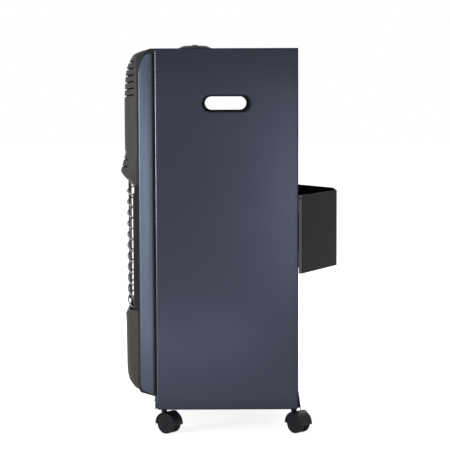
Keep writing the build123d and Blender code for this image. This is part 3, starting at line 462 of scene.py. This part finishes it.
def added(operator, **settings):
    """What a primitive operator adds, with nothing else picked."""
    bpy.ops.object.select_all(action="DESELECT")
    operator(**settings)
    return bpy.context.object


def stretched(piece, factors):
    enter(piece)
    bpy.ops.transform.resize(value=factors)
    leave()


def with_modifier(piece, kind, **settings):
    pick(piece)
    change = piece.modifiers.new(kind.lower(), kind)
    for label, value in settings.items():
        setattr(change, label, value)
    bpy.ops.object.modifier_apply(modifier=change.name)


def bevelled(piece, width, angle):
    """Round the edges that are sharper than angle, in degrees."""
    with_modifier(piece, "BEVEL", width=width, segments=2, limit_method="ANGLE", angle_limit=math.radians(angle))


def smoothed(angle):
    """Shade the picked piece smooth, but for the edges sharper than angle, in degrees."""
    bpy.ops.object.shade_smooth_by_angle(angle=math.radians(angle))


def settle(piece, name, body, finish_name, finishes):
    """Place into the mesh, then the name, the finish and the body that carries it."""
    pick(piece)
    bpy.ops.object.transform_apply(location=True, rotation=True, scale=True)
    piece.name = name
    piece.data.name = name
    piece.data.materials.clear()
    piece.data.materials.append(finishes[finish_name])
    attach(piece, body)


def softened(name, edge, finishes, reshape=None, finish_name=None):
    """A copy of a CAD node with its loose triangles joined, its flats cleaned up and its edges rounded."""
    piece = bpy.data.objects.new(name, nodes[name].data.copy())
    bpy.context.scene.collection.objects.link(piece)
    enter(piece)
    bpy.ops.mesh.remove_doubles(threshold=weld_distance)
    bpy.ops.mesh.dissolve_limited(angle_limit=math.radians(flat_angle))
    leave()
    if reshape:
        reshape(piece)
    bevelled(piece, edge, sharp_angle)
    smoothed(sharp_angle)
    with_modifier(piece, "WEIGHTED_NORMAL", keep_sharp=True, weight=50)
    settle(piece, f"{name}_finished", body_with[name], finish_name or slot_of[name], finishes)
    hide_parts(name)
    return piece


# ---------------------------------------------------------------- panels, mouldings and castors
weld_distance = 0.01 * MM
flat_angle = 0.6
sharp_angle = 34.0

soft_edges = {
    # name: the rounding's width, in mm
    "side_panel_right": 0.35, "side_panel_left": 0.35, "top_panel": 0.4, "base_tray": 0.3, "rear_top_rail": 0.3,
    "upper_fascia": 0.4, "lower_fascia": 0.5, "front_cheek_right": 0.6, "front_cheek_left": 0.6,
    "front_pillar_right": 0.4, "front_pillar_left": 0.4, "burner_surround": 0.3, "bottle_guard": 0.3,
    "bay_partition": 0.25, "control_knob": 0.6, "knob_bezel": 0.5, "gas_tap_body": 0.8, "gas_inlet_nozzle": 0.2,
    "guard_hook_pins": 0.4, "heat_deflector": 0.3, "injector_rail": 0.3, "tap_bracket": 0.3,
}
own_finishes = {"bottle_guard": "guard_paint", "lower_fascia": "lower_moulding"}
guard_painted_light_facing = 0.97

foot_zone = 60 * MM
rear_edge_depth = 2.5 * MM
castor_corners = ("front_right", "front_left", "rear_right", "rear_left")
castor_squeeze = 29.0 / 36.0
collar_bottom = 42 * MM


def slanted_foot(reach, back_reach, old_z, old_corner, back_z, knee_z, new_corner, rear_growth=0.0):
    """Slope a front post's flat foot up towards the front, and turn it into the front edge by a smaller corner."""
    def old_bottom(depth):
        past = max(0.0, depth - (reach - old_corner[0])) / old_corner[0]
        return old_z + old_corner[1] * (1 - math.sqrt(max(0.0, 1 - past ** 2)))

    def new_bottom(depth):
        knee = reach - new_corner[0]
        slope = back_z + (knee_z - back_z) * (min(depth, knee) - back_reach) / (knee - back_reach)
        past = max(0.0, depth - knee) / new_corner[0]
        return slope + new_corner[1] * (1 - math.sqrt(max(0.0, 1 - min(past, 1.0) ** 2)))

    def reshape(piece):
        for vertex in piece.data.vertices:
            if vertex.co.z < old_z + foot_zone:
                depth = front_y - vertex.co.y
                vertex.co.z += new_bottom(depth) - old_bottom(depth)
            if rear_growth and front_y - vertex.co.y < back_reach + rear_edge_depth:
                vertex.co.y += rear_growth
    return reshape


pillar_foot = slanted_foot(32.2 * MM, 6.0 * MM, base_z + 33 * MM, (22 * MM, 11 * MM), base_z + 31 * MM,
                           base_z + 38.8 * MM, (8 * MM, 16 * MM), pillar_rear_growth)
cheek_foot = slanted_foot(34.7 * MM, 0.0, base_z + 28 * MM, (24 * MM, 12 * MM), base_z + 25.2 * MM,
                          base_z + 34 * MM, (5 * MM, 9 * MM))
new_shapes = {"front_pillar_right": pillar_foot, "front_pillar_left": pillar_foot,
              "front_cheek_right": cheek_foot, "front_cheek_left": cheek_foot}


def narrower(corner):
    """Draw a castor's hood, wheels and axle in along the axle, under its collar."""
    stem = Vector(joints[f"swivel_{corner}"]["pos_m"])
    axle = Vector(joints[f"roll_{corner}_1"]["axis"]).normalized()

    def reshape(piece):
        for vertex in piece.data.vertices:
            if vertex.co.z < collar_bottom:
                vertex.co -= axle * (vertex.co - stem).dot(axle) * (1 - castor_squeeze)
    return reshape


def soften_pieces(finishes):
    for name, edge in soft_edges.items():
        piece = softened(name, edge * MM, finishes, new_shapes.get(name), own_finishes.get(name))
        if name == "bottle_guard":
            # the guard's sideways faces take the lighter copy of its paint: painted light
            piece.data.materials.append(finishes["guard_side_painted_light"])
            for polygon in piece.data.polygons:
                polygon.material_index = int(abs(polygon.normal.x) > guard_painted_light_facing)
    for corner in castor_corners:
        narrow = narrower(corner)
        softened(f"castor_hood_{corner}", 0.5 * MM, finishes, narrow)
        softened(f"castor_axle_{corner}", 0.3 * MM, finishes, narrow)
        for number in (1, 2):
            softened(f"castor_wheel_{corner}_{number}", 0.35 * MM, finishes, narrow)


# ---------------------------------------------------------------- wire grille
bow_rows = 11
bow_first_z = 483.1 * MM
bow_pitch = 22.57 * MM
bow_depth = 18.4 * MM
bow_steps = 36
wire_radius = 1.6 * MM
wire_sides = 12
upright_places = (-140 * MM, -30 * MM, 30 * MM, 140 * MM)


def rounded_rod(x, y, low_z, high_z):
    rod = added(bpy.ops.mesh.primitive_cylinder_add, vertices=wire_sides, radius=wire_radius, depth=high_z - low_z,
                location=(x, y, (low_z + high_z) / 2))
    bevelled(rod, 0.6 * MM, 60)
    return rod


def wire_grille(finishes):
    """Bowed wires welded to two side rods and four uprights behind them."""
    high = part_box("wire_grille")[1]
    half = high[0]
    rod_y = high[1] - wire_radius
    ends_y = rod_y - 2 * wire_radius
    arc_radius = (half ** 2 + bow_depth ** 2) / (2 * bow_depth)
    centre_y = ends_y - bow_depth + arc_radius
    sweep_angle = 2 * math.asin(half / arc_radius)

    def bow_y(x):
        return centre_y - math.sqrt(arc_radius ** 2 - x ** 2)

    bow = added(bpy.ops.mesh.primitive_circle_add, vertices=wire_sides, radius=wire_radius,
                location=(-half, bow_y(half), bow_first_z), rotation=(0, math.radians(90), -sweep_angle / 2))
    bpy.ops.object.transform_apply(location=True, rotation=True, scale=True)
    enter(bow)
    bpy.ops.mesh.spin(steps=bow_steps, angle=-sweep_angle, center=(0, centre_y, bow_first_z), axis=(0, 0, 1))
    bpy.ops.mesh.select_all(action="SELECT")
    bpy.ops.mesh.remove_doubles(threshold=weld_distance)
    bpy.ops.mesh.fill_holes(sides=0)
    bpy.ops.mesh.normals_make_consistent(inside=False)
    leave()
    with_modifier(bow, "ARRAY", count=bow_rows, use_relative_offset=False, use_constant_offset=True,
                  constant_offset_displace=(0, 0, -bow_pitch))
    foot_z = bow_first_z - (bow_rows - 1) * bow_pitch - 2 * wire_radius
    rods = [rounded_rod(side * (half - wire_radius), rod_y, foot_z, bow_first_z + 2 * wire_radius)
            for side in (-1, 1)]
    rods += [rounded_rod(x, bow_y(x) + 2 * wire_radius, foot_z, high[2]) for x in upright_places]
    pick(bow)
    for rod in rods:
        rod.select_set(True)
    bpy.ops.object.join()
    smoothed(40)
    settle(bow, "wire_grille_finished", "cabinet", "grille_wire", finishes)
    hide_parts("wire_grille")


# ---------------------------------------------------------------- grille apron and rear lip
apron_half_width = 130 * MM
apron_reach_back, apron_reach_front = 42.2 * MM, 54.2 * MM
apron_high_z, apron_low_z = 277 * MM, 251.3 * MM
apron_thickness = 1.6 * MM

lip_end_x = 201.6 * MM
lip_end_middle = 2.4 * MM
lip_end_thickness, lip_end_depth = 1.2 * MM, 5.6 * MM
lip_end_high_z, lip_end_low_z = 88 * MM, 55 * MM
lip_end_lean = 4.4 * MM


def grille_apron(finishes):
    """The sloped plate that runs from the bottom of the window down behind the lower fascia's rim."""
    back, front = front_y - apron_reach_back, front_y - apron_reach_front
    apron = added(bpy.ops.mesh.primitive_plane_add, size=1.0,
                  location=(0, (back + front) / 2, (apron_high_z + apron_low_z) / 2))
    stretched(apron, (2 * apron_half_width, back - front, 1.0))
    for vertex in apron.data.vertices:
        vertex.co.z = math.copysign((apron_high_z - apron_low_z) / 2, vertex.co.y)
    with_modifier(apron, "SOLIDIFY", thickness=apron_thickness, offset=-1.0)
    bevelled(apron, 0.4 * MM, 40)
    smoothed(40)
    settle(apron, "grille_apron", "cabinet", "fascia_moulding", finishes)


def rear_lip_ends(finishes):
    """The turned-in side ends that close the base's sloping rear lip."""
    middle_y = rear_y + lip_end_middle
    middle_z = (lip_end_high_z + lip_end_low_z) / 2
    for side, name in ((1, "right"), (-1, "left")):
        end = added(bpy.ops.mesh.primitive_cube_add, size=1.0, location=(side * lip_end_x, middle_y, middle_z))
        stretched(end, (lip_end_thickness, lip_end_depth, lip_end_high_z - lip_end_low_z))
        for vertex in end.data.vertices:
            if vertex.co.z > 0 and vertex.co.y > 0:
                vertex.co.y -= lip_end_lean
        bevelled(end, 0.3 * MM, 40)
        smoothed(40)
        settle(end, f"rear_lip_end_{name}", "cabinet", "cabinet_paint", finishes)


# ---------------------------------------------------------------- burner screens
screen_cells = (26, 44)
screen_wire = 0.9 * MM
screen_depth = 0.7 * MM
screen_margin = 1.0 * MM


def burner_screens(finishes):
    """Woven wire screens in front of the three burners, one sheet of fine mesh each."""
    low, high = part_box("burner_screens")
    screens = []
    for number in (1, 2, 3):
        plaque_low, plaque_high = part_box(f"burner_plaque_{number}")
        centre = ((plaque_low[0] + plaque_high[0]) / 2, low[1] + screen_depth, (low[2] + high[2]) / 2)
        screen = added(bpy.ops.mesh.primitive_grid_add, x_subdivisions=screen_cells[0],
                       y_subdivisions=screen_cells[1], size=1.0, location=centre, rotation=(math.radians(90), 0, 0))
        stretched(screen, (plaque_high[0] - plaque_low[0] - 2 * screen_margin, 1.0,
                           high[2] - low[2] - 2 * screen_margin))
        with_modifier(screen, "WIREFRAME", thickness=screen_wire, use_even_offset=False, use_boundary=True)
        settle(screen, f"burner_screen_mesh_{number}", "cabinet", "burner_mesh", finishes)
        screens.append(screen)
    for screen in screens:
        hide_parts("burner_screens")


# ---------------------------------------------------------------- screws and hub caps
screw_places = (-150 * MM, -50 * MM, 50 * MM, 150 * MM)
screw_radius = 3.0 * MM
screw_height = 0.42
screw_rise = 9 * MM
hub_cap_radius = 8.0 * MM
hub_cap_thickness = 1.2 * MM
hub_cap_seat = 0.1 * MM


def rail_screws(finishes):
    """Domed screws with a shallow recess along the rear top rail, under the top's rear lip."""
    low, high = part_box("rear_top_rail")
    back = high[1]
    z = low[2] + screw_rise
    for number, x in enumerate(screw_places, start=1):
        screw = added(bpy.ops.mesh.primitive_uv_sphere_add, segments=24, ring_count=12, radius=screw_radius,
                      location=(x, back, z), rotation=(math.radians(90), 0, 0))
        enter(screw)
        bpy.ops.transform.resize(value=(1.0, screw_height, 1.0))
        bpy.ops.mesh.bisect(plane_co=(x, back - 0.1 * MM, z), plane_no=(0, 1, 0), clear_inner=True, use_fill=True)
        bpy.ops.mesh.select_all(action="DESELECT")
        leave()
        for polygon in screw.data.polygons:
            polygon.select = polygon.center.xy.length < screw_radius / 2 and abs(polygon.normal.z) > 0.3
        pick(screw)
        bpy.ops.object.mode_set(mode="EDIT")
        bpy.ops.mesh.inset(thickness=0.15 * MM, depth=-0.4 * MM)
        leave()
        smoothed(35)
        settle(screw, f"rail_screw_{number}", "cabinet", "zinc_steel", finishes)


def hub_caps(finishes):
    """A stepped cap over each axle end, turning with its wheel."""
    for name, joint in joints.items():
        if not name.startswith("roll_"):
            continue
        wheel = joint["child"]
        hub = Vector(joint["pos_m"])
        axis = Vector(joint["axis"]).normalized()
        reaches = [(vertex.co - hub).dot(axis) * castor_squeeze
                   for vertex in nodes[f"castor_{wheel}"].data.vertices]
        outer = max(reaches) if max(reaches) > -min(reaches) else min(reaches)
        outward = axis if outer > 0 else -axis
        cap = added(bpy.ops.mesh.primitive_cylinder_add, vertices=40, radius=hub_cap_radius, depth=hub_cap_thickness,
                    location=hub + outward * (abs(outer) - hub_cap_seat),
                    rotation=outward.to_track_quat("Z", "Y").to_euler())
        for polygon in cap.data.polygons:
            polygon.select = polygon.normal.z > 0.9
        pick(cap)
        bpy.ops.object.mode_set(mode="EDIT")
        bpy.ops.mesh.select_mode(type="FACE")
        bpy.ops.mesh.inset(thickness=2.2 * MM, depth=-0.3 * MM)
        bpy.ops.mesh.inset(thickness=1.6 * MM, depth=0.35 * MM)
        leave()
        bevelled(cap, 0.2 * MM, 30)
        smoothed(34)
        settle(cap, f"hub_cap_{wheel}", wheel, "castor_wheel", finishes)


# ---------------------------------------------------------------- dial marks
dial_step = 60.0
dial_gap = 7.5 * MM
dial_text_size = 9.0 * MM
dial_text_rise = 0.05 * MM


def dial_marks(finishes):
    """Plain numbers round the knob's bezel, raised a hair above the top."""
    low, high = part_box("knob_bezel")
    centre_y = (low[1] + high[1]) / 2
    radius = (high[0] - low[0]) / 2 + dial_gap
    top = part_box("top_panel")[1][2]
    for number in range(4):
        turn = math.radians(dial_step * number)
        place = (radius * math.cos(turn), centre_y + radius * math.sin(turn), top + dial_text_rise)
        mark = added(bpy.ops.object.text_add, location=place)
        mark.data.body = str(number)
        mark.data.size = dial_text_size
        mark.data.align_x = "CENTER"
        mark.data.align_y = "CENTER"
        mark.data.extrude = 0.1 * MM
        bpy.ops.object.convert(target="MESH")
        settle(bpy.context.object, f"dial_number_{number}", "cabinet", "dial_ink", finishes)


# ---------------------------------------------------------------- the whole scene
def dress_cad_nodes(finishes):
    for name, piece in nodes.items():
        piece.data.materials.clear()
        piece.data.materials.append(finishes[slot_of[name]])


bpy.context.scene.view_settings.view_transform = "Standard"
bpy.ops.object.select_all(action="DESELECT")
photo_camera()
studio_lights()
studio_world()
studio_floor()
finishes = all_finishes()
dress_cad_nodes(finishes)
soften_pieces(finishes)
wire_grille(finishes)
grille_apron(finishes)
rear_lip_ends(finishes)
burner_screens(finishes)
rail_screws(finishes)
hub_caps(finishes)
dial_marks(finishes)
